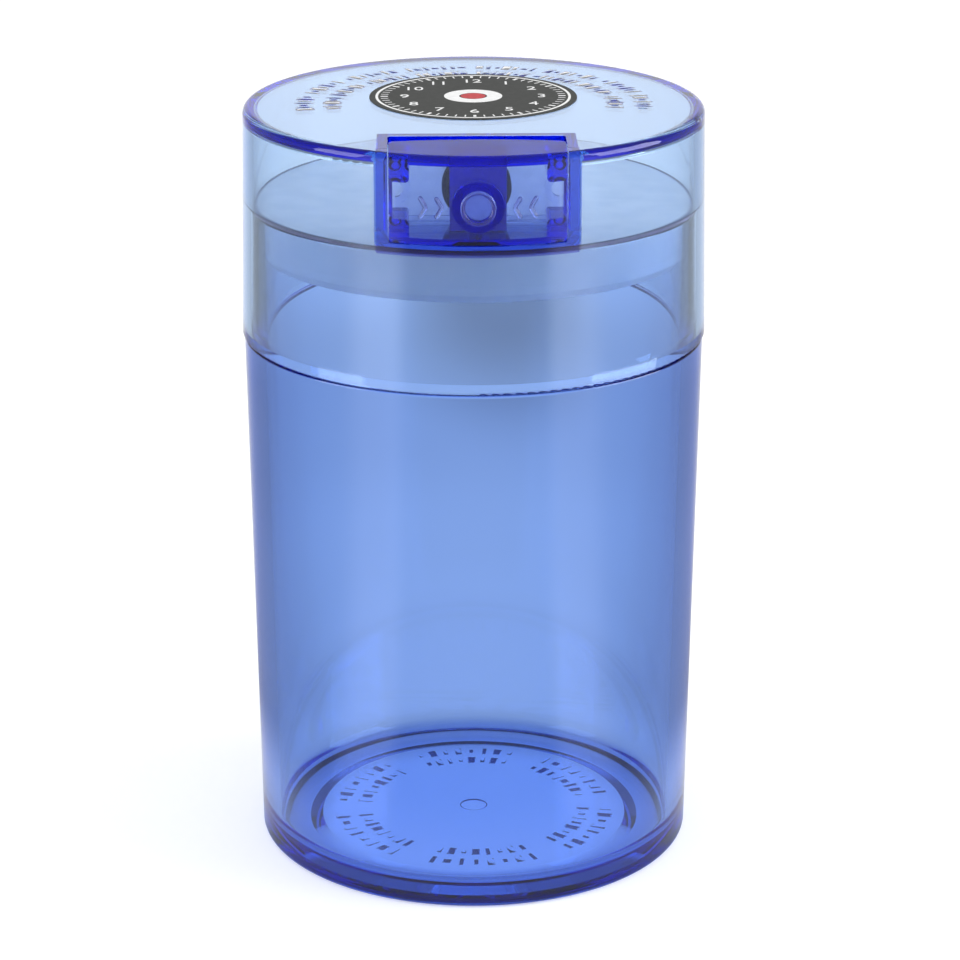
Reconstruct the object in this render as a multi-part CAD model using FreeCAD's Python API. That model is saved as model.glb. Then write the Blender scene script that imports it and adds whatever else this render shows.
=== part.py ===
import FreeCAD, Part
import math
import os

from FreeCAD import Vector

# Vacuum seal canister: a clear tinted jar whose cap carries a soft plug for the mouth
# and a push button that opens a vent valve. Millimetres, Z up, origin at the centre of
# the foot, the button on the -Y side.

# Cap
cap_skirt_radius = 45.0
cap_taper = 0.9
cap_edge_round = 1.3
top_plate = 2.2
skirt_wall = 1.6
skirt_lip_round = 0.4
skirt_lead_in = 0.6
skirt_lead_in_height = 1.7
chamber_wall = 2.1
chamber_round = 0.8

# Canister body
shoulder_step = 0.4
body_taper = 1.6
shoulder_height = 104.4
shoulder_round = 0.4
neck_height = 26.2
neck_wall = 1.6
neck_clearance = 0.35
neck_root_round = 0.5
mouth_round = 0.5
foot_wall = 3.6
floor_thickness = 2.3
floor_round = 3.2
foot_round = 1.5
foot_recess_depth = 1.4
foot_ring_width = 9.6
foot_recess_slope = 2.5
gate_mark_radius = 2.7
gate_mark_depth = 0.4

# Seal cup
seal_flange = 0.6
seal_wall = 1.1
seal_plug_height = 9.5
seal_plug_clearance = 0.4
seal_lip_height = 1.4
seal_lip_reach = 0.15
seal_ledge_fit = 0.1
seal_vent_radius = 1.6
seal_vent_offset = 12.0

# Gaps between the cap and the canister
seam_gap = 0.3
mouth_gap = 0.1

# Button and its pocket in the cap
button_width = 32.2
button_height = 16.2
button_depth = 14.0
button_clearance = 0.2
button_travel = 2.5
button_back_arch = 1.5
button_corner_round = 1.2
button_low_round = 0.8
button_face = 1.0
button_side_wall = 0.8
button_bottom_wall = 0.9
button_flange = 1.9
button_inner_round = 0.6
pocket_wall = 2.0
pocket_floor = 1.1
pocket_floor_gap = 0.2
pocket_back_wall = 1.6
pocket_corner_round = 0.6
pocket_edge_round = 0.8
pocket_rear_round = 0.3
pocket_spare_depth = 2.4

# Boss, corner blocks, posts and back plate of the button
boss_height_share = 0.42
boss_radius = 4.7
boss_end_wall = 2.0
boss_rib_width = 10.2
boss_rib_setback = 3.6
corner_block_width = 3.0
corner_block_height = 3.3
corner_block_round = 0.8
corner_block_gap = 0.1
post_radius = 0.7
post_inset = 1.6
stake_radius = 1.1
stake_height = 0.4
back_plate = 0.8
back_plate_inset = 0.4
back_plate_gap = 0.35
back_plate_round = 1.0
back_notch_radius = 1.5
back_rim_width = 1.3
back_rim_height = 0.35
bellows_seat_height = 2.0
plate_hole_clearance = 0.1

# Pin and rubber parts of the valve
pin_radius = 2.6
pin_clearance = 0.05
pin_end_gap = 0.1
pin_foot = 0.9
pin_foot_gap = 0.1
pin_end_round = 0.4
pin_barb_reach = 0.5
pin_barb_length = 1.2
vent_hole_radius = 3.5
bellows_pocket_gap = 0.5
bellows_fold_depth = 1.1
bellows_wall = 0.8
bellows_round = 0.3
bellows_end_gap = 0.1
bellows_fold_count = 2
stopper_radius = 4.5
stopper_disc = 1.8
stopper_hub_radius = 3.8
stopper_hub_length = 2.6
stopper_seat_gap = 0.1
stopper_round = 0.5

# Round sticker on the top plate
label_radius = 20.0
label_thickness = 0.2
label_offset = 5.3

# Every cut runs past the face that it goes through by this much
overrun = 2.0

# Levels that several pieces share
mouth_z = shoulder_height + neck_height
seal_under_z = mouth_z + mouth_gap
seal_top_z = seal_under_z + seal_flange
cap_bottom_z = shoulder_height + seam_gap
pocket_under_z = seal_top_z + pocket_floor_gap
pocket_floor_z = pocket_under_z + pocket_floor
button_bottom_z = pocket_floor_z + button_clearance
button_floor_z = button_bottom_z + button_bottom_wall
boss_z = button_bottom_z + boss_height_share * button_height
rib_low_z = boss_z - boss_radius
cap_top_z = button_bottom_z + button_height
button_ceiling_z = cap_top_z - button_flange
plate_under_z = cap_top_z - top_plate

# Radii that several pieces share
cap_top_radius = cap_skirt_radius - cap_taper
body_shoulder_radius = cap_skirt_radius - shoulder_step
body_foot_radius = body_shoulder_radius - body_taper
bellows_crest_radius = boss_z - pocket_floor_z - bellows_pocket_gap
bellows_root_radius = bellows_crest_radius - bellows_fold_depth

# Places from front to back, and half widths, of the button and what is behind it
front_y = -cap_skirt_radius
button_back_y = button_depth - cap_top_radius
button_corner_y = button_back_y - button_back_arch
plate_rear_y = button_corner_y - back_plate_inset
plate_front_y = plate_rear_y - back_plate
boss_rear_y = plate_front_y - pin_foot - 2 * pin_foot_gap
corner_block_rear_y = plate_front_y - corner_block_gap
bellows_seat_y = plate_rear_y + bellows_seat_height
slot_rear_y = button_back_y + button_travel + button_clearance
pocket_back_y = button_back_y + button_travel + pocket_spare_depth
pocket_rear_y = pocket_back_y + pocket_back_wall
stopper_front_y = pocket_rear_y + stopper_seat_gap
barb_y = stopper_front_y + stopper_disc
stopper_rear_y = barb_y + stopper_hub_length
button_half_width = button_width / 2
button_inner_half_width = button_half_width - button_side_wall
pocket_half_width = button_half_width + button_clearance

ORIGIN = Vector(0, 0, 0)
X_AXIS = Vector(1, 0, 0)
Y_AXIS = Vector(0, 1, 0)
Z_AXIS = Vector(0, 0, 1)


def cap_outer_radius(z):
    """Outside radius of the drafted cap at a height."""
    draft = cap_taper / (cap_top_z - cap_bottom_z)
    return cap_top_radius + draft * (cap_top_z - z)


def skirt_inner_radius(z):
    """Inside radius of the cap below the ledge, where the neck goes."""
    return cap_outer_radius(z) - skirt_wall


def chamber_radius(z):
    """Inside radius of the cap above the ledge."""
    return cap_outer_radius(z) - chamber_wall


def neck_radius(z):
    """Outside radius of the neck, which follows the inside of the skirt."""
    return skirt_inner_radius(z) - neck_clearance


mouth_radius = neck_radius(mouth_z) - neck_wall
seal_plug_radius = mouth_radius - seal_plug_clearance
bore_end_y = boss_end_wall - cap_outer_radius(boss_z)


def rounded_wire(corners):
    """Closed wire through corner points, each rounded to its own radius by a tangent arc."""
    count = len(corners)
    spans = []
    for i, (point, radius) in enumerate(corners):
        if radius == 0:
            spans.append((point, None, point))
            continue
        before = (corners[i - 1][0] - point).normalize()
        after = (corners[(i + 1) % count][0] - point).normalize()
        half_angle = before.getAngle(after) / 2
        setback = radius / math.tan(half_angle)
        depth = radius / math.sin(half_angle) - radius
        inward = (before + after).normalize()
        spans.append((point + before * setback, point + inward * depth, point + after * setback))
    edges = []
    for i, (start, middle, end) in enumerate(spans):
        if middle is not None:
            edges.append(Part.Arc(start, middle, end).toShape())
        next_start = spans[(i + 1) % count][0]
        edges.append(Part.LineSegment(end, next_start).toShape())
    return Part.Wire(edges)


def turned(outline):
    """Solid of revolution about Z from (radius, height, corner round) points."""
    corners = [(Vector(r, 0, z), rounding) for r, z, rounding in outline]
    return Part.Face(rounded_wire(corners)).revolve(ORIGIN, Z_AXIS, 360)


def turned_on_pin(outline):
    """Solid of revolution about the pin's line from (y, radius, corner round) points."""
    corners = [(Vector(0, y, boss_z + r), rounding) for y, r, rounding in outline]
    return Part.Face(rounded_wire(corners)).revolve(Vector(0, 0, boss_z), Y_AXIS, 360)


def block(half_width, y_front, y_rear, z_low, z_high):
    """Box centred on the YZ plane."""
    corner = Vector(-half_width, y_front, z_low)
    return Part.makeBox(2 * half_width, y_rear - y_front, z_high - z_low, corner)


def trough(half_width, z_low, low_round):
    """Bar along Y, higher than the cap, whose two lower edges are rounded."""
    y_front = front_y - overrun
    z_high = cap_top_z + overrun
    section = rounded_wire([
        (Vector(-half_width, y_front, z_low), low_round),
        (Vector(half_width, y_front, z_low), low_round),
        (Vector(half_width, y_front, z_high), 0),
        (Vector(-half_width, y_front, z_high), 0),
    ])
    return Part.Face(section).extrude(Vector(0, -y_front, 0))


def rod(radius, x, z, y_front, y_rear):
    """Cylinder along Y."""
    return Part.makeCylinder(radius, y_rear - y_front, Vector(x, y_front, z), Y_AXIS)


def round_edges(shape, radius, axis, behind_y=front_y):
    """Fillets the straight edges along an axis whose middle is behind a given place."""
    chosen = []
    for edge in shape.Edges:
        if isinstance(edge.Curve, Part.Line) and edge.CenterOfMass.y > behind_y:
            if edge.Curve.Direction.cross(axis).isEqual(ORIGIN, Part.Precision.angular()):
                chosen.append(edge)
    return shape.makeFillet(radius, chosen)


def canister_body():
    """Jar: foot, drafted wall, shoulder, neck and a floor that is raised in its middle."""
    recess_outer = body_foot_radius - foot_ring_width
    recess_inner = recess_outer - foot_recess_slope
    floor_z = foot_recess_depth + floor_thickness
    gate_top_z = foot_recess_depth + gate_mark_depth
    return turned([
        (0, gate_top_z, 0),
        (gate_mark_radius, gate_top_z, 0),
        (gate_mark_radius, foot_recess_depth, 0),
        (recess_inner, foot_recess_depth, 0),
        (recess_outer, 0, 0),
        (body_foot_radius, 0, foot_round),
        (body_shoulder_radius, shoulder_height, shoulder_round),
        (neck_radius(shoulder_height), shoulder_height, neck_root_round),
        (neck_radius(mouth_z), mouth_z, mouth_round),
        (mouth_radius, mouth_z, mouth_round),
        (body_foot_radius - foot_wall, floor_z, floor_round),
        (0, floor_z, 0),
    ])


def cap_envelope():
    """The whole space inside the outside surface of the cap."""
    return turned([
        (0, cap_bottom_z, 0),
        (cap_skirt_radius, cap_bottom_z, skirt_lip_round),
        (cap_top_radius, cap_top_z, cap_edge_round),
        (0, cap_top_z, 0),
    ])


def cap_hollow():
    """Inside of the cap: lead-in, the neck's space, the seal cup's ledge and the air chamber."""
    lead_in_z = cap_bottom_z + skirt_lead_in_height
    return turned([
        (0, cap_bottom_z, 0),
        (skirt_inner_radius(cap_bottom_z) + skirt_lead_in, cap_bottom_z, 0),
        (skirt_inner_radius(lead_in_z), lead_in_z, 0),
        (skirt_inner_radius(seal_top_z), seal_top_z, 0),
        (chamber_radius(seal_top_z), seal_top_z, 0),
        (chamber_radius(plate_under_z), plate_under_z, chamber_round),
        (0, plate_under_z, 0),
    ])


def cap_shell():
    """Cap with the button's pocket hung from the top plate, open at the front and as a slot at the top."""
    envelope = cap_envelope()
    shell = envelope.cut(cap_hollow())
    walls = block(pocket_half_width + pocket_wall, front_y, pocket_rear_y, pocket_under_z, cap_top_z)
    walls = round_edges(walls, pocket_rear_round, Z_AXIS, plate_rear_y)
    walls = walls.common(trough(pocket_half_width + pocket_wall, pocket_under_z, pocket_edge_round))
    space = block(pocket_half_width, front_y - overrun, pocket_back_y, pocket_floor_z, plate_under_z)
    slot = block(pocket_half_width, front_y - overrun, slot_rear_y, pocket_floor_z, cap_top_z + overrun)
    space, slot = [round_edges(shape, pocket_corner_round, Z_AXIS, plate_rear_y) for shape in (space, slot)]
    space = space.fuse(slot).common(trough(pocket_half_width, pocket_floor_z, pocket_corner_round))
    vent = rod(vent_hole_radius, 0, boss_z, pocket_back_y - overrun, pocket_rear_y + overrun)
    return shell.fuse(walls.common(envelope)).cut(space).cut(vent).removeSplitter()


def seal_cup():
    """Soft cup under the cap's ledge: flange on the mouth, plug with a lip inside it."""
    flange_radius = skirt_inner_radius(seal_top_z) - seal_ledge_fit
    plug_low_z = seal_under_z - seal_plug_height
    lip_low_z = plug_low_z + seal_lip_height
    lip_high_z = lip_low_z + seal_lip_height
    inner_radius = seal_plug_radius - seal_wall
    cup = turned([
        (0, seal_under_z, 0),
        (inner_radius, seal_under_z, seal_wall),
        (inner_radius, plug_low_z, 0),
        (seal_plug_radius - seal_wall / 2, plug_low_z, 0),
        (seal_plug_radius + seal_lip_reach, lip_low_z, 0),
        (seal_plug_radius, lip_high_z, 0),
        (seal_plug_radius, seal_under_z, 0),
        (flange_radius, seal_under_z, 0),
        (flange_radius, seal_top_z, 0),
        (0, seal_top_z, 0),
    ])
    hole_start = Vector(0, seal_vent_offset, seal_under_z - overrun)
    return cup.cut(Part.makeCylinder(seal_vent_radius, seal_flange + 2 * overrun, hole_start))


def corner_blocks():
    """Four blocks in the inner corners of the button, each with its free edge rounded."""
    x_outer = button_half_width - button_side_wall / 2
    x_inner = button_inner_half_width - corner_block_width
    z_outer = button_bottom_z + button_bottom_wall / 2
    z_inner = button_floor_z + corner_block_height
    section = rounded_wire([
        (Vector(x_inner, front_y, z_outer), 0),
        (Vector(x_outer, front_y, z_outer), 0),
        (Vector(x_outer, front_y, z_inner), 0),
        (Vector(x_inner, front_y, z_inner), corner_block_round),
    ])
    low = Part.Face(section).extrude(Vector(0, corner_block_rear_y - front_y, 0))
    middle = Vector(0, 0, (button_floor_z + button_ceiling_z) / 2)
    right = [low, low.mirror(middle, Z_AXIS)]
    return right + [shape.mirror(ORIGIN, X_AXIS) for shape in right]


def post_places():
    """Centres of the four posts, on the ends of the corner blocks."""
    x = button_inner_half_width - post_inset
    low_z = button_floor_z + post_inset
    high_z = button_ceiling_z - post_inset
    return [(side * x, z) for side in (-1, 1) for z in (low_z, high_z)]


def button_shell():
    """Outer box of the button, flush with the cap, with an arched back edge and an open back."""
    box = block(button_half_width, front_y, button_back_y, button_bottom_z, cap_top_z)
    arch_radius = (button_half_width ** 2 + button_back_arch ** 2) / (2 * button_back_arch)
    arch_centre = Vector(0, button_back_y - arch_radius, button_bottom_z)
    box = box.common(Part.makeCylinder(arch_radius, cap_top_z - button_bottom_z, arch_centre))
    box = round_edges(box, button_corner_round, Z_AXIS, plate_front_y)
    box = box.common(trough(button_half_width, button_bottom_z, button_low_round))
    hollow = block(button_inner_half_width, front_y, overrun, button_floor_z, button_ceiling_z)
    hollow = round_edges(hollow, button_inner_round, Y_AXIS)
    face_back_radius = cap_outer_radius(boss_z) - button_face
    hollow = hollow.common(Part.makeCylinder(face_back_radius, cap_top_z))
    return box.common(cap_envelope()).cut(hollow)


def push_button():
    """Button with its corner blocks and staked posts, and a boss on a rib with a bore for the valve pin."""
    envelope = cap_envelope()
    boss = rod(boss_radius, 0, boss_z, front_y, boss_rear_y)
    rib_front_y = front_y + boss_rib_setback
    rib = block(boss_rib_width / 2, rib_front_y, boss_rear_y, rib_low_z, button_ceiling_z)
    pieces = [piece.common(envelope) for piece in [boss, rib] + corner_blocks()]
    pieces += [rod(post_radius, x, z, corner_block_rear_y, plate_rear_y) for x, z in post_places()]
    for x, z in post_places():
        stake_place = Vector(x, plate_rear_y, z)
        pieces.append(Part.makeCone(stake_radius, post_radius, stake_height, stake_place, Y_AXIS))
    bore = rod(pin_radius + pin_clearance, 0, boss_z, bore_end_y, plate_rear_y)
    return button_shell().multiFuse(pieces).cut(bore).removeSplitter()


def button_back():
    """Plate that closes the back of the button: notched ends, a rim in front and a seat for the bellows."""
    half_width = button_inner_half_width - back_plate_gap
    low_z = button_floor_z + back_plate_gap
    high_z = button_ceiling_z - back_plate_gap
    plate = block(half_width, plate_front_y, plate_rear_y, low_z, high_z)
    plate = round_edges(plate, back_plate_round, Y_AXIS)
    seat_radius = bellows_root_radius - bellows_wall / 2
    plate = plate.fuse(rod(seat_radius, 0, boss_z, plate_front_y, bellows_seat_y))
    y_from = plate_front_y - overrun
    y_to = bellows_seat_y + overrun
    holes = [rod(pin_radius + plate_hole_clearance, 0, boss_z, y_from, y_to)]
    holes += [rod(post_radius + plate_hole_clearance, x, z, y_from, y_to) for x, z in post_places()]
    notch_places = [(side * half_width, (low_z + high_z) / 2) for side in (-1, 1)]
    holes += [rod(back_notch_radius, x, z, y_from, y_to) for x, z in notch_places]
    hollow = block(half_width - back_rim_width, y_from, plate_front_y + back_rim_height,
                   low_z + back_rim_width, high_z - back_rim_width)
    hollow = round_edges(hollow, back_plate_round, Y_AXIS)
    notch_rims = [rod(back_notch_radius + back_rim_width, x, z, y_from, y_to) for x, z in notch_places]
    hollow = hollow.cut(Part.makeCompound(notch_rims))
    return plate.cut(Part.makeCompound(holes)).cut(hollow).removeSplitter()


def return_bellows():
    """Folded rubber sleeve between its seat on the back plate and the pocket's back wall."""
    y_from = bellows_seat_y + bellows_end_gap
    y_to = pocket_back_y - bellows_end_gap
    fold = (y_to - y_from) / bellows_fold_count
    folds = []
    for i in range(bellows_fold_count):
        folds.append((y_from + i * fold, bellows_root_radius))
        folds.append((y_from + (i + 1 / 2) * fold, bellows_crest_radius))
    folds.append((y_to, bellows_root_radius))
    rounds = [0] + [bellows_round] * (len(folds) - 2) + [0]
    inside = [(y, r - bellows_wall, turn) for (y, r), turn in zip(folds, rounds)]
    outside = [(y, r, turn) for (y, r), turn in zip(folds, rounds)]
    return turned_on_pin(inside + outside[::-1])


def valve_pin():
    """Pin from the boss's bore through the vent hole, with a barb for the stopper.

    A foot as wide as the boss and the rib is held between them and the back plate."""
    pin = turned_on_pin([
        (bore_end_y + pin_end_gap, 0, 0),
        (bore_end_y + pin_end_gap, pin_radius, pin_end_round),
        (barb_y, pin_radius, 0),
        (barb_y, pin_radius + pin_barb_reach, 0),
        (barb_y + pin_barb_length, pin_radius, 0),
        (stopper_rear_y, pin_radius, pin_end_round),
        (stopper_rear_y, 0, 0),
    ])
    foot_y = boss_rear_y + pin_foot_gap
    foot_high_z = button_ceiling_z - pin_foot_gap
    foot = block(boss_rib_width / 2, foot_y, foot_y + pin_foot, rib_low_z, foot_high_z)
    return pin.multiFuse([foot, rod(boss_radius, 0, boss_z, foot_y, foot_y + pin_foot)]).removeSplitter()


def valve_stopper():
    """Rubber stopper that grips the barbed end of the pin and closes the vent hole."""
    return turned_on_pin([
        (stopper_front_y, pin_radius, 0),
        (stopper_front_y, stopper_radius, 0),
        (barb_y, stopper_radius, stopper_round),
        (barb_y, stopper_hub_radius, 0),
        (stopper_rear_y, stopper_hub_radius, stopper_round),
        (stopper_rear_y, pin_radius, 0),
        (barb_y + pin_barb_length, pin_radius, 0),
        (barb_y, pin_radius + pin_barb_reach, 0),
        (barb_y, pin_radius, 0),
    ])


def top_label():
    """Round sticker on the top plate, a little behind its middle."""
    return Part.makeCylinder(label_radius, label_thickness, Vector(0, label_offset, cap_top_z))


PIECES = [
    canister_body, cap_shell, seal_cup, push_button, button_back, return_bellows, valve_pin, valve_stopper,
    top_label,
]

os.makedirs("parts", exist_ok=True)
for make in PIECES:
    shape = make()
    print(f"{make.__name__}: {len(shape.Solids)} solid, valid {shape.isValid()}, {shape.Volume:.1f} mm3")
    shape.exportStep(f"parts/{make.__name__}.step")
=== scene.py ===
import math

import bmesh
import bpy
import numpy as np
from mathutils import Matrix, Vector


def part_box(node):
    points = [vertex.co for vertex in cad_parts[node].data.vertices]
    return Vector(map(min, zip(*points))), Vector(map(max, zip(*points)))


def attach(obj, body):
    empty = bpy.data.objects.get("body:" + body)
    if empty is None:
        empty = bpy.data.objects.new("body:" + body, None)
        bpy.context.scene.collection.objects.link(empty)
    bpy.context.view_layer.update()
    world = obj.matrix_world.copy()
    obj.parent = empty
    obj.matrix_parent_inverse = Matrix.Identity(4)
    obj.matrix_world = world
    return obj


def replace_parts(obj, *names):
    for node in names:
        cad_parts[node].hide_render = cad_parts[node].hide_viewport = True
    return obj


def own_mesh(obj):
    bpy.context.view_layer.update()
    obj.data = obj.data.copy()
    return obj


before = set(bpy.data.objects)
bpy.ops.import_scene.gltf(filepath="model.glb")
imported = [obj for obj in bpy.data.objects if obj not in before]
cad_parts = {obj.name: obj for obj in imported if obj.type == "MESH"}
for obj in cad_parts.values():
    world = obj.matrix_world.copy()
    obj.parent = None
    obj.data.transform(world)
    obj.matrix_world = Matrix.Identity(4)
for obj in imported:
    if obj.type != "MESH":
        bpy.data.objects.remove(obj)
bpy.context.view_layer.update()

# Vacuum seal canister: clear blue jar, paler clear cap with a soft milky plug, and a deep blue push button.
# Metres, Z up, origin at the centre of the foot, the button on the -Y side.

MM = 0.001

# Sizes and places read from the frame
jar_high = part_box("canister_body")[1]
cap_low, cap_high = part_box("cap_shell")
button_low, button_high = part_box("push_button")
bellows_low, bellows_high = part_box("return_bellows")
label_low, label_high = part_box("top_label")
seal_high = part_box("seal_cup")[1]
skirt_radius = cap_high.x
cap_taper = 0.9 * MM
stem_z = (bellows_low.z + bellows_high.z) / 2
label_y = (label_low.y + label_high.y) / 2
label_radius = label_high.x

# Walls and rounds of the jar
seam_gap = 0.3 * MM
shoulder_z = cap_low.z - seam_gap
shoulder_round = 0.4 * MM
body_taper = 1.6 * MM
foot_radius = jar_high.x - body_taper
foot_round = 1.5 * MM
foot_ring_width = 9.6 * MM
foot_wall = 3.6 * MM
recess_depth = 1.4 * MM
recess_slope = 2.5 * MM
recess_round = 0.4 * MM
gate_radius = 2.7 * MM
gate_depth = 0.4 * MM
gate_round = 0.12 * MM
floor_thickness = 2.3 * MM
floor_round = 3.2 * MM
skirt_wall = 1.6 * MM
neck_clearance = 0.35 * MM
neck_wall = 1.6 * MM
neck_round = 0.5 * MM

# Rubber sleeve behind the button
bellows_wall = 0.8 * MM
bellows_fold_depth = 1.1 * MM
bellows_folds = 2

# Raised marks
mark_sink = 0.05 * MM

# Ends of the pocket's walls round the button, painted a deeper blue as painted shade
frame_width = 2.3 * MM
frame_depth = 8 * MM

# Frosted thumb rest on top of the button, also painted a darker blue as painted shade, measured down from
# its top
thumb_rest = 0.05 * MM

# Sticker and the print on it
label_air = 0.01 * MM
ink_height = 0.035 * MM
ink_sink = 0.005 * MM

# Angles, in degrees, above which an edge shades sharp, on crisp pieces and on soft ones
crisp_angle = 35
soft_angle = 60


def linear(hex_colour):
    """An sRGB hex colour as the linear colour that shaders take."""
    srgb = np.array([int(hex_colour[i:i + 2], 16) for i in (1, 3, 5)]) / 255
    low = srgb / 12.92
    high = ((srgb + 0.055) / 1.055) ** 2.4
    return (*np.where(srgb <= 0.04045, low, high).tolist(), 1.0)


def add(tree, kind, inputs=(), stops=(), blend="LINEAR", **settings):
    """Adds a node. Inputs maps a socket to a value, or to the output that feeds it.

    A colour ramp has stops of (place, colour), in rising order, and blends between them."""
    made = tree.nodes.new(kind)
    for name, value in settings.items():
        setattr(made, name, value)
    for socket, value in dict(inputs).items():
        if isinstance(value, bpy.types.NodeSocket):
            tree.links.new(value, made.inputs[socket])
        else:
            made.inputs[socket].default_value = value
    if stops:
        made.color_ramp.interpolation = blend
        elements = made.color_ramp.elements
        while len(elements) < len(stops):
            elements.new(0.5)
        for element, (place, colour) in zip(elements, stops):
            element.position = place
            element.color = colour
    return made


def start_material(name):
    """An empty node material."""
    material = bpy.data.materials.new(name)
    material.use_nodes = True
    material.node_tree.nodes.clear()
    return material, material.node_tree


def inside_frame(tree, place):
    """Mask of the painted shade on the ends of the pocket's walls, which frame the button: 1 there, 0
    elsewhere.
    """
    spot = add(tree, "ShaderNodeSeparateXYZ", {0: place}).outputs
    aside = add(tree, "ShaderNodeMath", {0: spot["X"]}, operation="ABSOLUTE").outputs["Value"]

    def beyond(value, limit):
        return add(tree, "ShaderNodeMath", {0: value, 1: limit}, operation="GREATER_THAN").outputs["Value"]

    def both(first, second):
        return add(tree, "ShaderNodeMath", {0: first, 1: second}, operation="MULTIPLY").outputs["Value"]

    def without(first, second):
        rest = add(tree, "ShaderNodeMath", {0: first, 1: second}, operation="SUBTRACT").outputs["Value"]
        return add(tree, "ShaderNodeMath", {0: rest, 1: 0.0}, operation="MAXIMUM").outputs["Value"]

    high = beyond(spot["Z"], button_low.z - frame_width)
    wide = beyond(aside, button_high.x + frame_width)
    opening = without(beyond(spot["Z"], button_low.z), beyond(aside, button_high.x))
    back = beyond(spot["Y"], button_low.y + frame_depth)
    return without(without(without(high, wide), opening), back)


def clear_moulded_plastic(name, tint, density, haze, frost_and_shade_z=None, framed=False):
    """Styrene copolymer from a polished mould: glass-clear, with a tint that deepens with every
    millimetre, so that walls seen edge-on go dark blue, and the faint haze of handling.

    Faces above frost_and_shade_z come from an eroded part of the mould and have a rough frost finish, and
    their colour is painted a darker blue: painted shade in place of the darker pocket seen through them. The
    ends of the pocket's walls, which frame the button, are painted a deeper blue: painted shade in place of
    the dark blue of light that has run along the walls."""
    frosted_roughness = 0.32
    frosted_painted_shade = linear("#8f9fff")
    painted_frame_shade = linear("#7f79d4")
    haze_patch = 14 * MM
    mould_wave = 9 * MM
    wave_height = 0.004 * MM
    material, tree = start_material(name)
    place = add(tree, "ShaderNodeTexCoord").outputs["Object"]
    patches = add(tree, "ShaderNodeTexNoise", {"Vector": place, "Scale": 1 / haze_patch, "Detail": 4.0})
    rough = add(tree, "ShaderNodeMapRange", {
        "Value": patches.outputs["Fac"], "From Min": 0.35, "From Max": 0.7,
        "To Min": haze[0], "To Max": haze[1],
    })
    rough = rough.outputs["Result"]
    colour = (1, 1, 1, 1)
    if frost_and_shade_z is not None:
        frost_and_shade = add(tree, "ShaderNodeMath", {
            0: add(tree, "ShaderNodeSeparateXYZ", {0: place}).outputs["Z"], 1: frost_and_shade_z,
        }, operation="GREATER_THAN").outputs["Value"]
        rough = add(tree, "ShaderNodeMix", {0: frost_and_shade, 2: rough, 3: frosted_roughness}).outputs[0]
        # Painted shade: the top is tinted a darker blue for the darker pocket seen through it
        colour = add(tree, "ShaderNodeMix", {
            0: frost_and_shade, 6: colour, 7: frosted_painted_shade,
        }, data_type="RGBA").outputs[2]
    waves = add(tree, "ShaderNodeTexNoise", {"Vector": place, "Scale": 1 / mould_wave, "Detail": 1.0})
    bump = add(tree, "ShaderNodeBump", {
        "Height": waves.outputs["Fac"], "Distance": wave_height, "Strength": 1.0,
    })
    # Painted shade: the ends of the pocket's walls are tinted a deeper blue
    if framed:
        colour = add(tree, "ShaderNodeMix", {
            0: inside_frame(tree, place), 6: colour, 7: painted_frame_shade,
        }, data_type="RGBA").outputs[2]
    surface = add(tree, "ShaderNodeBsdfPrincipled", {
        "Base Color": colour, "Roughness": rough, "IOR": 1.57,
        "Transmission Weight": 1.0, "Normal": bump.outputs["Normal"],
    })
    volume = add(tree, "ShaderNodeVolumeAbsorption", {"Color": tint, "Density": density})
    add(tree, "ShaderNodeOutputMaterial", {
        "Surface": surface.outputs["BSDF"], "Volume": volume.outputs["Volume"],
    })
    return material


def milky_polyethylene(name):
    """Natural polyethylene, moulded: waxy white that glows with the light behind it, satin surface.

    The rim of the flange, where it sits between the cap and the mouth, is painted darker: painted shade for
    the shadow that the mouth's edge keeps on it."""
    cloud = 6 * MM
    glow_depth = 1.2 * MM
    rim_width = 1.3 * MM
    rim_painted_shade = linear("#5f5a78")
    material, tree = start_material(name)
    place = add(tree, "ShaderNodeTexCoord").outputs["Object"]
    clouds = add(tree, "ShaderNodeTexNoise", {"Vector": place, "Scale": 1 / cloud, "Detail": 5.0})
    tone = add(tree, "ShaderNodeValToRGB", {"Fac": clouds.outputs["Fac"]}, stops=(
        (0.3, linear("#eff3f9")), (0.7, linear("#fafcff")),
    ))
    rough = add(tree, "ShaderNodeMapRange", {
        "Value": clouds.outputs["Fac"], "To Min": 0.18, "To Max": 0.3,
    })
    flat = add(tree, "ShaderNodeVectorMath", {
        0: place, 1: (1, 1, 0),
    }, operation="MULTIPLY").outputs["Vector"]
    radius = add(tree, "ShaderNodeVectorMath", {0: flat}, operation="LENGTH").outputs["Value"]
    rim = add(tree, "ShaderNodeMapRange", {
        "Value": radius, "From Min": seal_high.x - rim_width, "From Max": seal_high.x - rim_width / 2,
    }).outputs["Result"]
    # Painted shade on the flange's rim
    colour = add(tree, "ShaderNodeMix", {
        0: rim, 6: tone.outputs["Color"], 7: rim_painted_shade,
    }, data_type="RGBA").outputs[2]
    surface = add(tree, "ShaderNodeBsdfPrincipled", {
        "Base Color": colour, "Roughness": rough.outputs["Result"], "IOR": 1.51,
        "Subsurface Weight": 1.0, "Subsurface Radius": (1, 1, 1), "Subsurface Scale": glow_depth,
    })
    add(tree, "ShaderNodeOutputMaterial", {"Surface": surface.outputs["BSDF"]})
    return material


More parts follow.
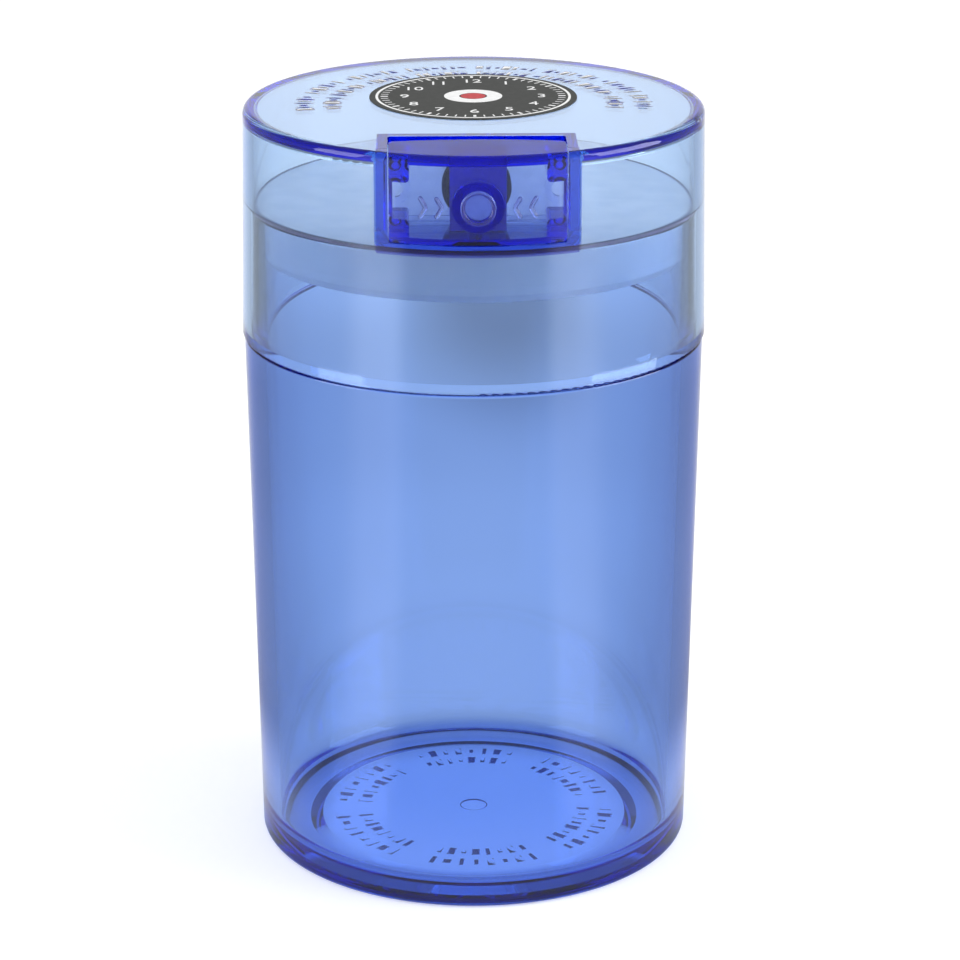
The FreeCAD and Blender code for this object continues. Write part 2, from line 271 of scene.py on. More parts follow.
def moulded_acetal(name):
    """Acetal, moulded: opaque natural white with a silky surface and faint flow marks."""
    flow = 2 * MM
    material, tree = start_material(name)
    place = add(tree, "ShaderNodeTexCoord").outputs["Object"]
    marks = add(tree, "ShaderNodeTexNoise", {"Vector": place, "Scale": 1 / flow, "Detail": 3.0})
    tone = add(tree, "ShaderNodeValToRGB", {"Fac": marks.outputs["Fac"]}, stops=(
        (0.3, linear("#d9d8d2")), (0.7, linear("#e8e7e2")),
    ))
    surface = add(tree, "ShaderNodeBsdfPrincipled", {
        "Base Color": tone.outputs["Color"], "Roughness": 0.35, "IOR": 1.48,
    })
    add(tree, "ShaderNodeOutputMaterial", {"Surface": surface.outputs["BSDF"]})
    return material


def black_silicone_rubber(name):
    """Silicone rubber, moulded: soft black with a dusty bloom and a low sheen."""
    grain = 0.4 * MM
    grain_height = 0.02 * MM
    bloom = 3 * MM
    material, tree = start_material(name)
    place = add(tree, "ShaderNodeTexCoord").outputs["Object"]
    dust = add(tree, "ShaderNodeTexNoise", {"Vector": place, "Scale": 1 / bloom, "Detail": 6.0})
    tone = add(tree, "ShaderNodeValToRGB", {"Fac": dust.outputs["Fac"]}, stops=(
        (0.35, linear("#0c0c10")), (0.8, linear("#26262c")),
    ))
    skin = add(tree, "ShaderNodeTexNoise", {"Vector": place, "Scale": 1 / grain, "Detail": 2.0})
    bump = add(tree, "ShaderNodeBump", {"Height": skin.outputs["Fac"], "Distance": grain_height})
    surface = add(tree, "ShaderNodeBsdfPrincipled", {
        "Base Color": tone.outputs["Color"], "Roughness": 0.5, "IOR": 1.43,
        "Normal": bump.outputs["Normal"],
    })
    add(tree, "ShaderNodeOutputMaterial", {"Surface": surface.outputs["BSDF"]})
    return material


def printed_vinyl(name):
    """Vinyl sticker, screen printed charcoal: faint mottle of the ink and a satin clear coat.

    Its back, where the glue is, is plain white film."""
    mottle = 1.2 * MM
    back_z = label_low.z + 2 * label_air
    back_white = linear("#f4f4f2")
    material, tree = start_material(name)
    place = add(tree, "ShaderNodeTexCoord").outputs["Object"]
    ink = add(tree, "ShaderNodeTexNoise", {"Vector": place, "Scale": 1 / mottle, "Detail": 4.0})
    tone = add(tree, "ShaderNodeValToRGB", {"Fac": ink.outputs["Fac"]}, stops=(
        (0.3, linear("#202320")), (0.75, linear("#2c302c")),
    ))
    rough = add(tree, "ShaderNodeMapRange", {
        "Value": ink.outputs["Fac"], "To Min": 0.38, "To Max": 0.52,
    })
    printed = add(tree, "ShaderNodeMath", {
        0: add(tree, "ShaderNodeSeparateXYZ", {0: place}).outputs["Z"], 1: back_z,
    }, operation="GREATER_THAN").outputs["Value"]
    colour = add(tree, "ShaderNodeMix", {
        0: printed, 6: back_white, 7: tone.outputs["Color"],
    }, data_type="RGBA").outputs[2]
    surface = add(tree, "ShaderNodeBsdfPrincipled", {
        "Base Color": colour, "Roughness": rough.outputs["Result"], "IOR": 1.4,
    })
    add(tree, "ShaderNodeOutputMaterial", {"Surface": surface.outputs["BSDF"]})
    return material


def screen_ink(name, dark, light):
    """Screen printing ink on the sticker: a thin flat layer with a slightly uneven tone."""
    mottle = 0.8 * MM
    material, tree = start_material(name)
    place = add(tree, "ShaderNodeTexCoord").outputs["Object"]
    ink = add(tree, "ShaderNodeTexNoise", {"Vector": place, "Scale": 1 / mottle, "Detail": 3.0})
    tone = add(tree, "ShaderNodeValToRGB", {"Fac": ink.outputs["Fac"]}, stops=(
        (0.3, linear(dark)), (0.7, linear(light)),
    ))
    surface = add(tree, "ShaderNodeBsdfPrincipled", {
        "Base Color": tone.outputs["Color"], "Roughness": 0.45, "IOR": 1.5,
    })
    add(tree, "ShaderNodeOutputMaterial", {"Surface": surface.outputs["BSDF"]})
    return material


def rounded_outline(corners, arc_steps=8):
    """Points along an outline of (across, along, round) corners.

    A round corner becomes its tangent arc. The arc's centre lies on the corner's bisector, its round
    divided by the sine of half the corner's angle away. A guard point just outside each end of an arc
    keeps the shading of the straight run beside it flat."""
    guard_share = 0.25
    spots = np.array([corner[:2] for corner in corners], float)
    outline = []
    for i, (spot, radius) in enumerate(zip(spots, [corner[2] for corner in corners])):
        if radius == 0:
            outline.append(spot[None])
            continue
        legs = np.array([spots[i - 1] - spot, spots[(i + 1) % len(spots)] - spot])
        legs /= np.linalg.norm(legs, axis=1, keepdims=True)
        half = math.acos(np.clip(legs[0] @ legs[1], -1, 1)) / 2
        setback = radius / math.tan(half)
        bisector = legs.sum(0) / np.linalg.norm(legs.sum(0))
        centre = spot + bisector * radius / math.sin(half)
        first, last = (spot + legs * setback) - centre
        start = math.atan2(first[1], first[0])
        sweep = math.atan2(last[1], last[0]) - start
        sweep = (sweep + math.pi) % (2 * math.pi) - math.pi
        turn = start + sweep * np.linspace(0, 1, arc_steps + 1)
        arc = centre + radius * np.stack([np.cos(turn), np.sin(turn)], 1)
        guards = spot + legs * (setback + guard_share * radius)
        outline += [guards[:1], arc, guards[1:]]
    return np.concatenate(outline)


def grid_faces(rows, columns, wrap_rows=False, wrap_columns=False):
    """Quads between neighbouring points of a grid, which may join up with itself either way."""
    from_rows = np.arange(rows - (not wrap_rows))
    from_columns = np.arange(columns - (not wrap_columns))
    i, j = np.meshgrid(from_rows, from_columns, indexing="ij")
    i_next = (i + 1) % rows
    j_next = (j + 1) % columns
    corners = [i * columns + j, i * columns + j_next, i_next * columns + j_next, i_next * columns + j]
    return np.stack(corners, -1).reshape(-1, 4)


def finish_mesh(mesh, sharp_degrees):
    """Closes seams and poles, turns the faces outwards and smooths all but the sharp edges."""
    weld = 1e-7
    work = bmesh.new()
    work.from_mesh(mesh)
    bmesh.ops.remove_doubles(work, verts=work.verts, dist=weld)
    bmesh.ops.recalc_face_normals(work, faces=work.faces)
    work.to_mesh(mesh)
    work.free()
    mesh.shade_smooth()
    mesh.set_sharp_from_angle(angle=math.radians(sharp_degrees))


def as_piece(mesh, material, body, sharp_degrees):
    """A finished object from a mesh that moves with a body."""
    finish_mesh(mesh, sharp_degrees)
    mesh.materials.append(material)
    made = bpy.data.objects.new(mesh.name, mesh)
    bpy.context.scene.collection.objects.link(made)
    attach(made, body)
    return made


def piece(name, points, faces, material, body, sharp_degrees=crisp_angle):
    """A named object from points and faces that moves with a body."""
    mesh = bpy.data.meshes.new(name)
    mesh.from_pydata(points.reshape(-1, 3).tolist(), [], faces.tolist())
    return as_piece(mesh, material, body, sharp_degrees)


def turned_points(outline, segments):
    """Surface of revolution about Z: outline point (r, z) at turn t goes to (r cos t, r sin t, z)."""
    turn = np.linspace(0, 2 * math.pi, segments, endpoint=False)
    radius, height = outline[:, :1], outline[:, 1:]
    return np.stack([radius * np.cos(turn), radius * np.sin(turn), height + 0 * turn], -1)


def cap_radius(z):
    """Outside radius of the drafted cap at a height."""
    return skirt_radius - cap_taper * (z - cap_low.z) / (cap_high.z - cap_low.z)


def neck_radius(z):
    """Outside radius of the jar's neck, which follows the inside of the skirt."""
    return cap_radius(z) - skirt_wall - neck_clearance


def jar():
    """Jar turned from one outline: gate mark, recess, foot ring, wall, shoulder, neck, inside and floor."""
    segments = 360
    recess_outer = foot_radius - foot_ring_width
    floor_z = recess_depth + floor_thickness
    gate_z = recess_depth + gate_depth
    mouth_z = jar_high.z
    outline = rounded_outline([
        (0, gate_z, 0),
        (gate_radius, gate_z, gate_round),
        (gate_radius, recess_depth, gate_round),
        (recess_outer - recess_slope, recess_depth, recess_round),
        (recess_outer, 0, recess_round),
        (foot_radius, 0, foot_round),
        (jar_high.x, shoulder_z, shoulder_round),
        (neck_radius(shoulder_z), shoulder_z, neck_round),
        (neck_radius(mouth_z), mouth_z, neck_round),
        (neck_radius(mouth_z) - neck_wall, mouth_z, neck_round),
        (foot_radius - foot_wall, floor_z, floor_round),
        (0, floor_z, 0),
    ])
    points = turned_points(outline, segments)
    faces = grid_faces(len(outline), segments, wrap_columns=True)
    made = piece("jar", points, faces, tinted_body, "canister")
    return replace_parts(made, "canister_body")


def bellows():
    """Rubber sleeve turned about the stem: its radius follows a cosine along Y, one wave for each fold."""
    segments = 96
    fold_steps = 24
    along = np.linspace(0, 1, fold_steps * bellows_folds + 1)
    crest = (bellows_high.z - bellows_low.z) / 2
    outer = crest - bellows_fold_depth / 2 * (1 + np.cos(2 * math.pi * bellows_folds * along))
    y = bellows_low.y + along * (bellows_high.y - bellows_low.y)
    outline = np.concatenate([np.stack([outer, y], 1), np.stack([outer - bellows_wall, y], 1)[::-1]])
    points = turned_points(outline, segments)[..., [0, 2, 1]] + np.array([0, 0, stem_z])
    faces = grid_faces(len(outline), segments, wrap_rows=True, wrap_columns=True)
    made = piece("bellows_sleeve", points, faces, black_rubber, "cap", soft_angle)
    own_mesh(made)
    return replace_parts(made, "return_bellows")


def raised_bars(name, radius, turn, half_radial, half_across, base_z, rise, material, body):
    """Low pillows on a flat face, set out round the Z axis.

    Each bar is a 5 by 5 grid over (-1..1, -1..1) that stands up by rise times (1 - u^4)(1 - v^4),
    with a flat underside sunk a little into the face."""
    grid = 5
    u, v = np.meshgrid(np.linspace(-1, 1, grid), np.linspace(-1, 1, grid), indexing="ij")
    dome = (1 - u ** 4) * (1 - v ** 4)
    sink = -math.copysign(mark_sink, rise)
    radius, turn, half_radial, half_across = np.broadcast_arrays(
        *[np.asarray(value, float).reshape(-1, 1, 1) for value in (radius, turn, half_radial, half_across)])
    bar_radius = radius + half_radial * u
    bar_turn = turn + half_across * v / radius
    x = bar_radius * np.cos(bar_turn)
    y = bar_radius * np.sin(bar_turn)
    top = np.stack([x, y, base_z + sink + (rise - sink) * dome + 0 * x], -1)
    under = np.stack([x, y, base_z + sink + 0 * x], -1)
    bars = np.stack([top, under], 1)
    quads = grid_faces(grid, grid)
    both = np.concatenate([quads, quads[:, ::-1] + u.size])
    faces = (np.arange(len(bars))[:, None, None] * 2 * u.size + both).reshape(-1, 4)
    return piece(name, bars, faces, material, body, soft_angle)


def cap_scale_marks():
    """Two rows of raised bars of mixed sizes round the back of the cap's top, in groups with gaps."""
    first, last, count = math.radians(-12), math.radians(192), 65
    row_radius = (32.4 * MM, 27.0 * MM)
    long_bars = np.array([1.8, 0.9, 1.8, 1.3, 1.8, 0.8, 1.5]) * MM
    wide_bars = np.array([0.45, 0.8, 0.5, 0.9, 0.45]) * MM
    rise = 0.08 * MM
    group = 8
    row_shift = 3
    place = np.arange(count)
    kept = place[place % group > 0]
    turn = np.linspace(first, last, count)[kept]
    radius = np.repeat(row_radius, len(kept))
    both = np.concatenate([kept, kept + row_shift])
    return raised_bars(
        "cap_scale_marks", radius, np.tile(turn, 2), long_bars[both % len(long_bars)],
        wide_bars[both % len(wide_bars)], cap_high.z, rise, tinted_cap, "cap")


def base_marks():
    """Two rings of raised bars of mixed sizes under the floor of the jar, in groups with gaps between."""
    count = 60
    row_radius = (27.0 * MM, 22.4 * MM)
    long_bars = np.array([1.5, 0.8, 1.5, 1.1, 1.5, 0.7, 1.3]) * MM
    wide_bars = np.array([0.4, 0.7, 0.45, 0.8, 0.4]) * MM
    rise = 0.09 * MM
    group = 10
    row_shift = 3
    place = np.arange(count)
    kept = place[place % group > 1]
    turn = 2 * math.pi * kept / count
    radius = np.repeat(row_radius, len(kept))
    both = np.concatenate([kept, kept + row_shift])
    return raised_bars(
        "base_marks", radius, np.tile(turn, 2), long_bars[both % len(long_bars)],
        wide_bars[both % len(wide_bars)], recess_depth, -rise, tinted_body, "canister")


def label_film():
    """Sticker turned from a thin outline with a soft edge, lower than its solid by the height of the ink.

    A hair of air under it keeps the light inside the cap's top plate."""
    segments = 180
    edge_round = 0.06 * MM
    top_z = label_high.z - ink_height
    low_z = label_low.z + label_air
    outline = rounded_outline([
        (0, low_z, 0),
        (label_radius, low_z, 0),
        (label_radius, top_z, edge_round),
        (0, top_z, 0),
    ], arc_steps=4)
    points = turned_points(outline, segments) + np.array([0, label_y, 0])
    made = piece("label_sticker", points, grid_faces(len(outline), segments, wrap_columns=True),
                 charcoal_film, "cap")
    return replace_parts(made, "top_label")


def ink_ring(inner, outer):
    """Flat ring of ink round the middle of the sticker, as points and faces."""
    segments = 180
    low_z = label_high.z - ink_height - ink_sink
    outline = np.array([(inner, low_z), (outer, low_z), (outer, label_high.z), (inner, label_high.z)])
    points = turned_points(outline, segments) + np.array([0, label_y, 0])
    return points.reshape(-1, 3), grid_faces(4, segments, wrap_rows=True, wrap_columns=True)


def ink_shape(outline):
    """Flat patch of ink from a convex outline of (x, y) points, as points and faces in four columns."""
    low_z = label_high.z - ink_height - ink_sink
    outline = np.asarray(outline, float)
    count = len(outline)
    middle = np.broadcast_to(outline.mean(0), outline.shape)
    rings = [(middle, low_z), (outline, low_z), (outline, label_high.z), (middle, label_high.z)]
    points = np.stack([np.column_stack([ring, np.full(count, z)]) for ring, z in rings])
    return (points + np.array([0, label_y, 0])).reshape(-1, 3), grid_faces(4, count, wrap_columns=True)


def ink_bar(radius, turn, half_radial, half_across):
    """Straight tick of ink that points at the middle of the sticker."""
    along = np.array([math.cos(turn), math.sin(turn)])
    across = np.array([-along[1], along[0]])
    signs = ((-1, -1), (1, -1), (1, 1), (-1, 1))
    return ink_shape([
        radius * along + a * half_radial * along + b * half_across * across for a, b in signs
    ])


def ink_number(text, x, y, size):
    """Number of ink, set from the plain built-in font and centred on (x, y)."""
    curve = bpy.data.curves.new("number", "FONT")
    curve.body = text
    curve.size = size
    curve.align_x = "CENTER"
    curve.align_y = "CENTER"
    curve.resolution_u = 3
    curve.extrude = (ink_height + ink_sink) / 2
    holder = bpy.data.objects.new("number", curve)
    bpy.context.scene.collection.objects.link(holder)
    shaped = bpy.data.meshes.new_from_object(holder)
    middle_z = label_high.z - curve.extrude
    points = np.array([vertex.co[:] for vertex in shaped.vertices]) + np.array([x, label_y + y, middle_z])
    shaped.calc_loop_triangles()
    faces = np.array([triangle.vertices[:] for triangle in shaped.loop_triangles])
    bpy.data.objects.remove(holder)
    bpy.data.meshes.remove(shaped)
    bpy.data.curves.remove(curve)
    return points, faces


def joined(name, shapes, material, body):
    """One piece from several (points, faces) shapes."""
    points = np.concatenate([shape[0] for shape in shapes])
    starts = np.cumsum([0] + [len(shape[0]) for shape in shapes[:-1]])
    faces = [face for (_, rows), start in zip(shapes, starts) for face in (rows + start).tolist()]
    mesh = bpy.data.meshes.new(name)
    mesh.from_pydata(points.tolist(), [], faces)
    return as_piece(mesh, material, body, crisp_angle)


def label_dial():
    """Printed month dial: ring, ticks, numbers 1 to 12 and a white middle with a red hub."""
    months = 12
    ticks = 5
    ring_inner, ring_outer = 18.3 * MM, 18.8 * MM
    tick_radius, tick_half = 17.1 * MM, 0.7 * MM
    main_tick, small_tick = 0.28 * MM, 0.12 * MM
    number_radius, number_size = 13.2 * MM, 4.0 * MM
    middle_radius, hub_radius, hub_gap = 5.6 * MM, 2.4 * MM, 0.3 * MM
    hub_steps = 48
    white = [ink_ring(ring_inner, ring_outer), ink_ring(hub_radius + hub_gap, middle_radius)]
    for i in range(ticks * months):
        turn = 2 * math.pi * i / (ticks * months)
        half_across = main_tick if i % ticks == 0 else small_tick
        white.append(ink_bar(tick_radius, turn, tick_half, half_across))
    for month in range(1, months + 1):
        turn = math.pi / 2 - 2 * math.pi * month / months
        x, y = number_radius * math.cos(turn), number_radius * math.sin(turn)
        white.append(ink_number(str(month), x, y, number_size))
    joined("label_white_print", white, white_ink, "cap")
    round_turn = np.linspace(0, 2 * math.pi, hub_steps, endpoint=False)
    hub = np.column_stack([np.cos(round_turn), np.sin(round_turn)]) * hub_radius
    joined("label_red_print", [ink_shape(hub)], red_ink, "cap")


def raised_line(u, w, half_width, rise, closed):
    """Raised rounded line on the button's curved face, as points and faces.

    The line runs through (u, w), u along the curve of the face and w up it. Across the line the height
    is rise times the root of 1 - s^2, with s from -1 to 1, and open ends run out the same way."""
    profile_steps = 9
    profile = np.linspace(0, math.pi, profile_steps)
    side = np.concatenate([np.cos(profile), [-1, 1]])
    height = np.concatenate([np.sin(profile) * rise, [-mark_sink, -mark_sink]])
    line = np.column_stack([u, w])
    if closed:
        ahead = np.roll(line, -1, 0) - np.roll(line, 1, 0)
        swell = np.ones(len(line))
    else:
        ahead = np.gradient(line, axis=0)
        run = np.concatenate([[0], np.cumsum(np.linalg.norm(np.diff(line, axis=0), axis=1))])
        end = np.minimum(run, run[-1] - run)
        swell = np.sqrt(1 - (1 - np.clip(end / half_width, 0, 1)) ** 2)
    ahead /= np.linalg.norm(ahead, axis=1, keepdims=True)
    across = np.column_stack([-ahead[:, 1], ahead[:, 0]])
    spot = line[:, None] + across[:, None] * (swell[:, None] * side * half_width)[..., None]
    z = spot[..., 1]
    radius = cap_radius(z) + swell[:, None] * height
    turn = spot[..., 0] / skirt_radius
    points = np.stack([radius * np.sin(turn), -radius * np.cos(turn), z], -1)
    faces = grid_faces(len(line), len(side), wrap_rows=closed, wrap_columns=True)
    return points.reshape(-1, 3), faces


def button_marks():
    """Raised ring in the middle of the button's face and two arrowheads on either side that point at it."""
    half_width, rise = 0.42 * MM, 0.4 * MM
    ring_radius = 2.9 * MM
    ring_steps = 72
    arrow_reach, arrow_half = 1.3 * MM, 2.0 * MM
    arrow_places = (6.6 * MM, 9.6 * MM)
    arrow_steps = 49
    arrow_blunt = 0.02
    turn = np.linspace(0, 2 * math.pi, ring_steps, endpoint=False)
    lines = [raised_line(
        ring_radius * np.cos(turn), stem_z + ring_radius * np.sin(turn), half_width, rise, closed=True)]
    along = np.linspace(-1, 1, arrow_steps)
    bend = np.sqrt(along ** 2 + arrow_blunt)
    for side in (-1, 1):
        for place in arrow_places:
            u = side * (place + arrow_reach * bend)
            lines.append(raised_line(u, stem_z + arrow_half * along, half_width, rise, closed=False))
    joined("button_marks", lines, deep_blue, "button")


tinted_body = clear_moulded_plastic(
    "styrene_copolymer_moulded_blue", linear("#3fadf8"), density=190.0, haze=(0.004, 0.02))
tinted_cap = clear_moulded_plastic(
    "styrene_copolymer_moulded_pale_blue", linear("#3dbcfc"), density=150.0, haze=(0.004, 0.02),
    framed=True)
deep_blue = clear_moulded_plastic(
    "styrene_copolymer_moulded_deep_blue", linear("#2690fd"), density=460.0, haze=(0.01, 0.03),
    frost_and_shade_z=button_high.z - thumb_rest)
milky = milky_polyethylene("polyethylene_moulded_natural")
black_rubber = black_silicone_rubber("silicone_rubber_moulded_black")
charcoal_film = printed_vinyl("vinyl_film_printed_charcoal")
white_acetal = moulded_acetal("acetal_moulded_white")
white_ink = screen_ink("screen_ink_white", "#e9eaea", "#f6f6f6")
red_ink = screen_ink("screen_ink_red", "#b81d28", "#cf2a34")

jar()
bellows()
cap_scale_marks()
base_marks()
label_film()
label_dial()
button_marks()
for name, material in (
    ("cap_shell", tinted_cap), ("seal_cup", milky), ("push_button", deep_blue), ("button_back", deep_blue),
    ("valve_pin", white_acetal), ("valve_stopper", black_rubber),
):
    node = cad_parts[name]
    node.data.materials.clear()
    node.data.materials.append(material)


def seen_rays(tree):
    """1 for what the eye sees, straight, in gloss or through plastic, and 0 for light on a matt face."""
    before_matt = 0.5
    path = add(tree, "ShaderNodeLightPath").outputs
    gloss = add(tree, "ShaderNodeMath", {
        0: path["Is Camera Ray"], 1: path["Is Glossy Ray"],
    }, operation="MAXIMUM").outputs["Value"]
    through = add(tree, "ShaderNodeMath", {
        0: gloss, 1: path["Is Transmission Ray"],
    }, operation="MAXIMUM").outputs["Value"]
    lighting = add(tree, "ShaderNodeMath", {
        0: path["Diffuse Depth"], 1: before_matt,
    }, operation="LESS_THAN").outputs["Value"]
    return add(tree, "ShaderNodeMath", {0: through, 1: lighting}, operation="MULTIPLY").outputs["Value"]


def studio_tone(tree, x, y):
    """Level of the studio by the bearing of a place or direction, measured round the Z axis from the front.

    Darker where the camera stands and at the two sides, with a bright panel between them on either side,
    and a bright backdrop. Through plastic the dark places are paler."""
    through_least = 0.3
    levels = ((0.0, 0.15), (0.17, 0.15), (0.225, 1.0), (0.29, 1.0), (0.38, 0.26), (0.76, 0.26), (0.94, 1.0))
    greys = [(place, (level, level, level, 1)) for place, level in levels]
    front = add(tree, "ShaderNodeMath", {0: y, 1: -1.0}, operation="MULTIPLY").outputs["Value"]
    turn = add(tree, "ShaderNodeMath", {0: x, 1: front}, operation="ARCTAN2").outputs["Value"]
    away = add(tree, "ShaderNodeMath", {0: turn}, operation="ABSOLUTE").outputs["Value"]
    share = add(tree, "ShaderNodeMath", {0: away, 1: math.pi}, operation="DIVIDE").outputs["Value"]
    mirrored = add(tree, "ShaderNodeValToRGB", {"Fac": share}, stops=greys, blend="EASE").outputs["Color"]
    seen_through = add(tree, "ShaderNodeMapRange", {
        "Value": mirrored, "To Min": through_least, "To Max": 1.0,
    }).outputs["Result"]
    return add(tree, "ShaderNodeMix", {
        0: add(tree, "ShaderNodeLightPath").outputs["Is Transmission Ray"], 2: mirrored, 3: seen_through,
    }).outputs[0]


def pale_floor():
    """Wide pale floor, a little under the foot, that keeps the shadow but reads as white.

    In gloss and through plastic it is white near the object, takes the tone of the studio farther off, and
    has a painted soft shadow of the cap on it behind the object. Under the object it has a painted blue
    glow, round the foot a painted contact shadow, and farther off painted rings of shade and light. On the
    right it glows for light that goes up through the plastic to matt faces: painted light in place of the
    softbox's bounce."""
    half = 4.0
    gap = 0.02 * MM
    lift_level = 0.38
    near, far = 50 * MM, 95 * MM
    mirrored_share = 0.7
    right_glow_level = 1.2
    reach = 500 * MM
    blue = np.array(linear("#abc6ff"))
    white = np.ones(4)
    # Painted light and shade on the floor in gloss and through plastic, by distance: a blue glow under the
    # object, a contact shadow round the foot, then rings of shade and light farther off
    rings = (
        (0.052, 1.6 * blue), (0.08, 0.75 * blue), (0.1, 0.8 * white), (0.128, white), (0.36, white),
        (0.5, 0.87 * white), (0.62, 0.85 * white), (0.8, 1.2 * white),
    )
    # Painted shadow of the cap on the floor behind the object, seen in gloss and through plastic
    shadow_middle = (20 * MM, 370 * MM, 0)
    shadow_size = (46 * MM, 110 * MM, 1)
    shadow_level = 0.3
    shadow_core, shadow_edge = 0.3, 1.3
    mesh = bpy.data.meshes.new("floor")
    corners = [(-half, -half, -gap), (half, -half, -gap), (half, half, -gap), (-half, half, -gap)]
    mesh.from_pydata(corners, [], [(0, 1, 2, 3)])
    floor = bpy.data.objects.new("floor", mesh)
    bpy.context.scene.collection.objects.link(floor)
    material, tree = start_material("studio_paper_painted_light")
    place = add(tree, "ShaderNodeTexCoord").outputs["Object"]
    spot = add(tree, "ShaderNodeSeparateXYZ", {0: place}).outputs
    distance = add(tree, "ShaderNodeVectorMath", {0: place}, operation="LENGTH").outputs["Value"]
    away = add(tree, "ShaderNodeMapRange", {
        "Value": distance, "From Min": near, "From Max": far,
    }, interpolation_type="SMOOTHSTEP").outputs["Result"]
    tone = add(tree, "ShaderNodeMix", {
        0: away, 2: 1.0, 3: studio_tone(tree, spot["X"], spot["Y"]),
    }).outputs[0]
    inside = add(tree, "ShaderNodeVectorMath", {
        0: place, 1: shadow_middle,
    }, operation="SUBTRACT").outputs["Vector"]
    inside = add(tree, "ShaderNodeVectorMath", {
        0: inside, 1: shadow_size,
    }, operation="DIVIDE").outputs["Vector"]
    inside = add(tree, "ShaderNodeVectorMath", {0: inside}, operation="LENGTH").outputs["Value"]
    shade = add(tree, "ShaderNodeMapRange", {
        "Value": inside, "From Min": shadow_core, "From Max": shadow_edge,
        "To Min": shadow_level, "To Max": 1.0,
    }, interpolation_type="SMOOTHSTEP").outputs["Result"]
    tone = add(tree, "ShaderNodeMath", {0: tone, 1: shade}, operation="MULTIPLY").outputs["Value"]
    paper = add(tree, "ShaderNodeBsdfDiffuse", {"Color": linear("#d8d9da")})
    glow = add(tree, "ShaderNodeEmission", {"Strength": lift_level})
    straight = add(tree, "ShaderNodeAddShader", {0: paper.outputs["BSDF"], 1: glow.outputs["Emission"]})
    camera_ray = add(tree, "ShaderNodeLightPath").outputs["Is Camera Ray"]
    seen = seen_rays(tree)
    plain = add(tree, "ShaderNodeMixShader", {
        0: camera_ray, 1: paper.outputs["BSDF"], 2: straight.outputs["Shader"],
    })
    # Painted light: on the right the floor glows for light that goes up through plastic to matt faces
    right = add(tree, "ShaderNodeMath", {0: spot["X"], 1: distance}, operation="DIVIDE").outputs["Value"]
    right = add(tree, "ShaderNodeMath", {0: right, 1: 0.0}, operation="MAXIMUM").outputs["Value"]
    matt = add(tree, "ShaderNodeMath", {0: 1.0, 1: seen}, operation="SUBTRACT").outputs["Value"]
    matt = add(tree, "ShaderNodeMath", {
        0: matt, 1: add(tree, "ShaderNodeLightPath").outputs["Is Transmission Ray"],
    }, operation="MULTIPLY").outputs["Value"]
    right = add(tree, "ShaderNodeMath", {0: right, 1: right_glow_level}, operation="MULTIPLY").outputs["Value"]
    right = add(tree, "ShaderNodeMath", {0: right, 1: matt}, operation="MULTIPLY").outputs["Value"]
    right_glow = add(tree, "ShaderNodeEmission", {"Strength": right})
    plain = add(tree, "ShaderNodeAddShader", {0: plain.outputs["Shader"], 1: right_glow.outputs["Emission"]})
    share = add(tree, "ShaderNodeMath", {0: seen, 1: camera_ray}, operation="SUBTRACT").outputs["Value"]
    share = add(tree, "ShaderNodeMath", {0: share, 1: mirrored_share}, operation="MULTIPLY").outputs["Value"]
    ring = add(tree, "ShaderNodeMath", {0: distance, 1: reach}, operation="DIVIDE").outputs["Value"]
    tint = add(tree, "ShaderNodeValToRGB", {"Fac": ring}, stops=rings, blend="EASE").outputs["Color"]
    mirrored = add(tree, "ShaderNodeEmission", {"Color": tint, "Strength": tone})
    both = add(tree, "ShaderNodeMixShader", {
        0: share, 1: plain.outputs["Shader"], 2: mirrored.outputs["Emission"],
    })
    add(tree, "ShaderNodeOutputMaterial", {"Surface": both.outputs["Shader"]})
    mesh.materials.append(material)


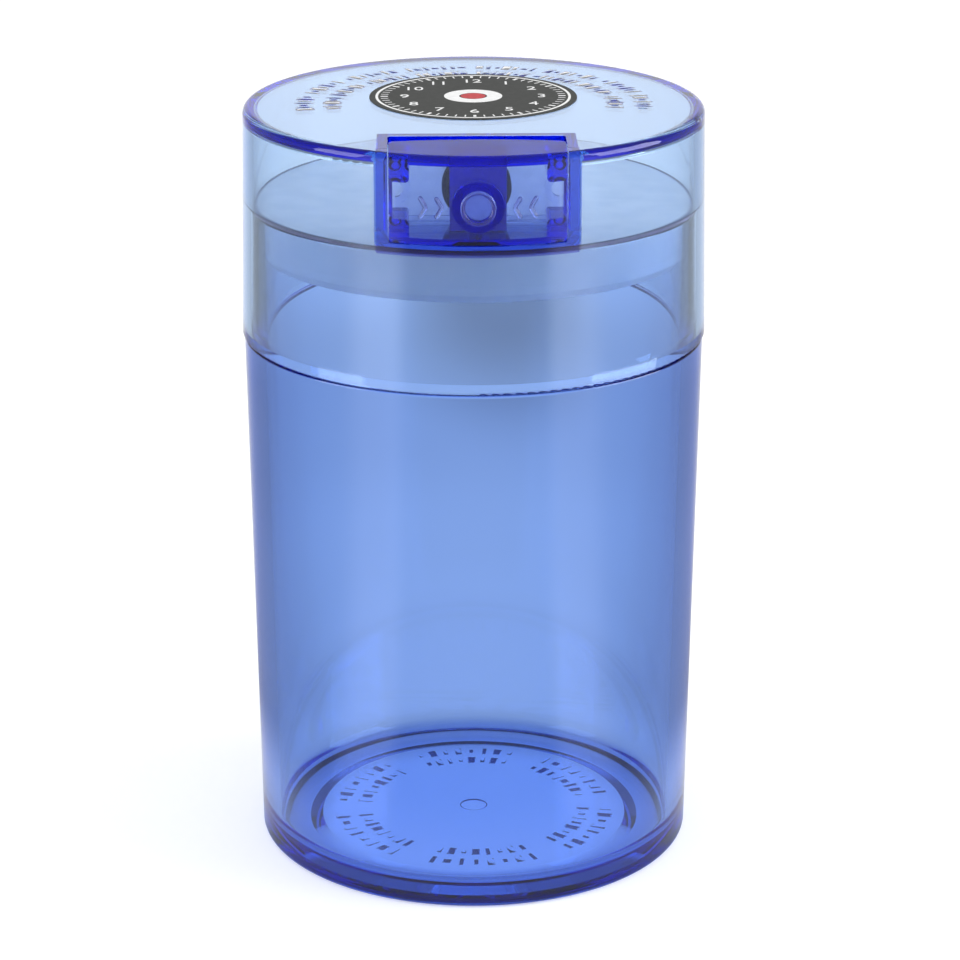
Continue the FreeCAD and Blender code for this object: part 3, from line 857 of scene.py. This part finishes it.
def white_studio():
    """White studio. In gloss and through plastic it shows the darker sides, the panels and a dim ceiling.

    Light that reaches a matt face through clear plastic is raised, because lamps can't shine through it. It
    falls off with the height above the horizon, is weaker from the front and has a lobe on the right."""
    soft_level = 0.9
    through_level = 10.5
    low_power = 2.0
    front_dip = 0.8
    right_gain = 0.8
    right_power = 4.0
    room_least = 0.3
    ceiling_level = 0.3
    ceiling_low, ceiling_high = 0.2, 0.36
    world = bpy.data.worlds.new("studio")
    bpy.context.scene.world = world
    world.use_nodes = True
    tree = world.node_tree
    tree.nodes.clear()
    direction = add(tree, "ShaderNodeTexCoord").outputs["Generated"]
    way = add(tree, "ShaderNodeSeparateXYZ", {0: direction}).outputs
    height = add(tree, "ShaderNodeMapRange", {
        "Value": way["Z"], "From Min": ceiling_low, "From Max": ceiling_high,
    }, interpolation_type="SMOOTHSTEP").outputs["Result"]
    tone = add(tree, "ShaderNodeMapRange", {
        "Value": studio_tone(tree, way["X"], way["Y"]), "To Min": room_least, "To Max": 1.0,
    }).outputs["Result"]
    room = add(tree, "ShaderNodeMix", {0: height, 2: tone, 3: ceiling_level}).outputs[0]
    low = add(tree, "ShaderNodeMath", {0: 1.0, 1: way["Z"]}, operation="SUBTRACT").outputs["Value"]
    low = add(tree, "ShaderNodeMath", {0: low, 1: low_power}, operation="POWER").outputs["Value"]
    front = add(tree, "ShaderNodeMath", {0: way["Y"], 1: 0.0}, operation="MINIMUM").outputs["Value"]
    front = add(tree, "ShaderNodeMath", {0: front, 1: 2.0}, operation="POWER").outputs["Value"]
    front = add(tree, "ShaderNodeMath", {
        0: front, 1: -front_dip, 2: 1.0,
    }, operation="MULTIPLY_ADD").outputs["Value"]
    right = add(tree, "ShaderNodeMath", {0: way["X"], 1: 0.0}, operation="MAXIMUM").outputs["Value"]
    right = add(tree, "ShaderNodeMath", {0: right, 1: right_power}, operation="POWER").outputs["Value"]
    right = add(tree, "ShaderNodeMath", {0: right, 1: low}, operation="MULTIPLY").outputs["Value"]
    right = add(tree, "ShaderNodeMath", {
        0: right, 1: right_gain, 2: front,
    }, operation="MULTIPLY_ADD").outputs["Value"]
    through = add(tree, "ShaderNodeMath", {0: low, 1: through_level}, operation="MULTIPLY").outputs["Value"]
    through = add(tree, "ShaderNodeMath", {0: through, 1: right}, operation="MULTIPLY").outputs["Value"]
    light = add(tree, "ShaderNodeMix", {
        0: add(tree, "ShaderNodeLightPath").outputs["Is Transmission Ray"], 2: soft_level, 3: through,
    }).outputs[0]
    level = add(tree, "ShaderNodeMix", {0: seen_rays(tree), 2: light, 3: room}).outputs[0]
    sky = add(tree, "ShaderNodeBackground", {"Color": (1, 1, 1, 1), "Strength": level})
    add(tree, "ShaderNodeOutputWorld", {"Surface": sky.outputs["Background"]})


def softbox(name, bearing, height, distance, width, tall, power):
    """Area lamp that faces the middle of the object from a bearing, in degrees right of the front."""
    lamp = bpy.data.lights.new(name, "AREA")
    lamp.shape = "RECTANGLE"
    lamp.size = width
    lamp.size_y = tall
    lamp.energy = power
    made = bpy.data.objects.new(name, lamp)
    bpy.context.scene.collection.objects.link(made)
    turn = math.radians(bearing)
    made.location = (distance * math.sin(turn), -distance * math.cos(turn), height)
    rise = math.atan2(height - jar_high.z / 2, distance)
    made.rotation_euler = (math.pi / 2 - rise, 0, turn)


def camera():
    """Camera at the photograph's viewing angle, fitted to the rims, the seam, the foot and the button."""
    distance = 0.6159
    height = 0.2872
    dip = 0.335
    turn = math.radians(-1.1)
    data = bpy.data.cameras.new("camera")
    data.lens = 123.2
    data.sensor_width = 36.0
    data.shift_x = 0.0066
    made = bpy.data.objects.new("camera", data)
    bpy.context.scene.collection.objects.link(made)
    made.location = (distance * math.sin(turn), -distance * math.cos(turn), height)
    made.rotation_euler = (math.pi / 2 - dip, 0, turn)
    bpy.context.scene.camera = made


pale_floor()
white_studio()
softbox("softbox_left", bearing=-70, height=0.4, distance=1.0, width=0.5, tall=0.8, power=4)
softbox("softbox_right", bearing=80, height=0.4, distance=1.0, width=0.8, tall=0.8, power=9)
camera()

scene = bpy.context.scene
scene.view_settings.view_transform = "Standard"
clear_bounces = 128
scene.cycles.max_bounces = clear_bounces
scene.cycles.transmission_bounces = clear_bounces
scene.cycles.glossy_bounces = clear_bounces
scene.cycles.diffuse_bounces = 6
